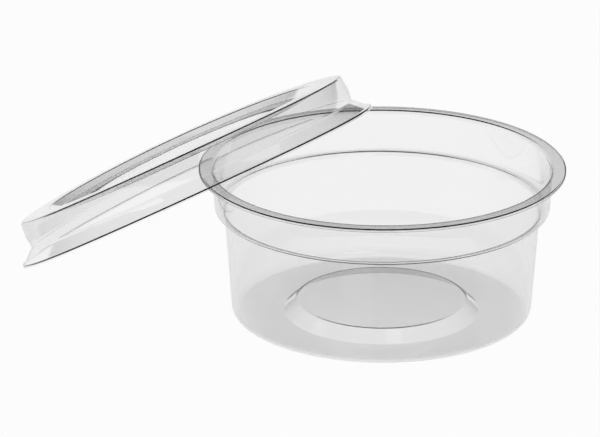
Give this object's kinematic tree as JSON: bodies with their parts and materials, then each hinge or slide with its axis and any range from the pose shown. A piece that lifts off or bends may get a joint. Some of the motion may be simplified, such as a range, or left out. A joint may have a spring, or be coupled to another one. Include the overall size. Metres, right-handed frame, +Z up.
{
  "type": "go stone bowl",
  "caption": "Clear round thin-sheet tub for go stones with flanged rim, stepped wall and raised floor, and its lift-off lid leaning on the rim",
  "frame": {"origin": "Middle of the footprint box of the tub and the leaning lid, on the surface that both stand on. The tub's own axis is vertical, at x = 0.034, y = 0.", "axes": "+Z up. The lid leans along X, with its foot at -X and the tub at +X. The XZ plane is the pair's mirror plane."},
  "size_m": [0.185, 0.1254, 0.0692],
  "materials": {
    "tub_clear": "clear colourless glossy sheet",
    "lid_clear": "clear colourless glossy sheet"
  },
  "bodies": {
    "tub": {"tub": "tub_clear"},
    "lid": {"lid": "lid_clear"}
  },
  "joints": [
    {"name": "lid_lift", "type": "slide", "parent": "tub", "child": "lid", "axis": [0, 0, 1], "range_m": [0, 0.07]}
  ]
}
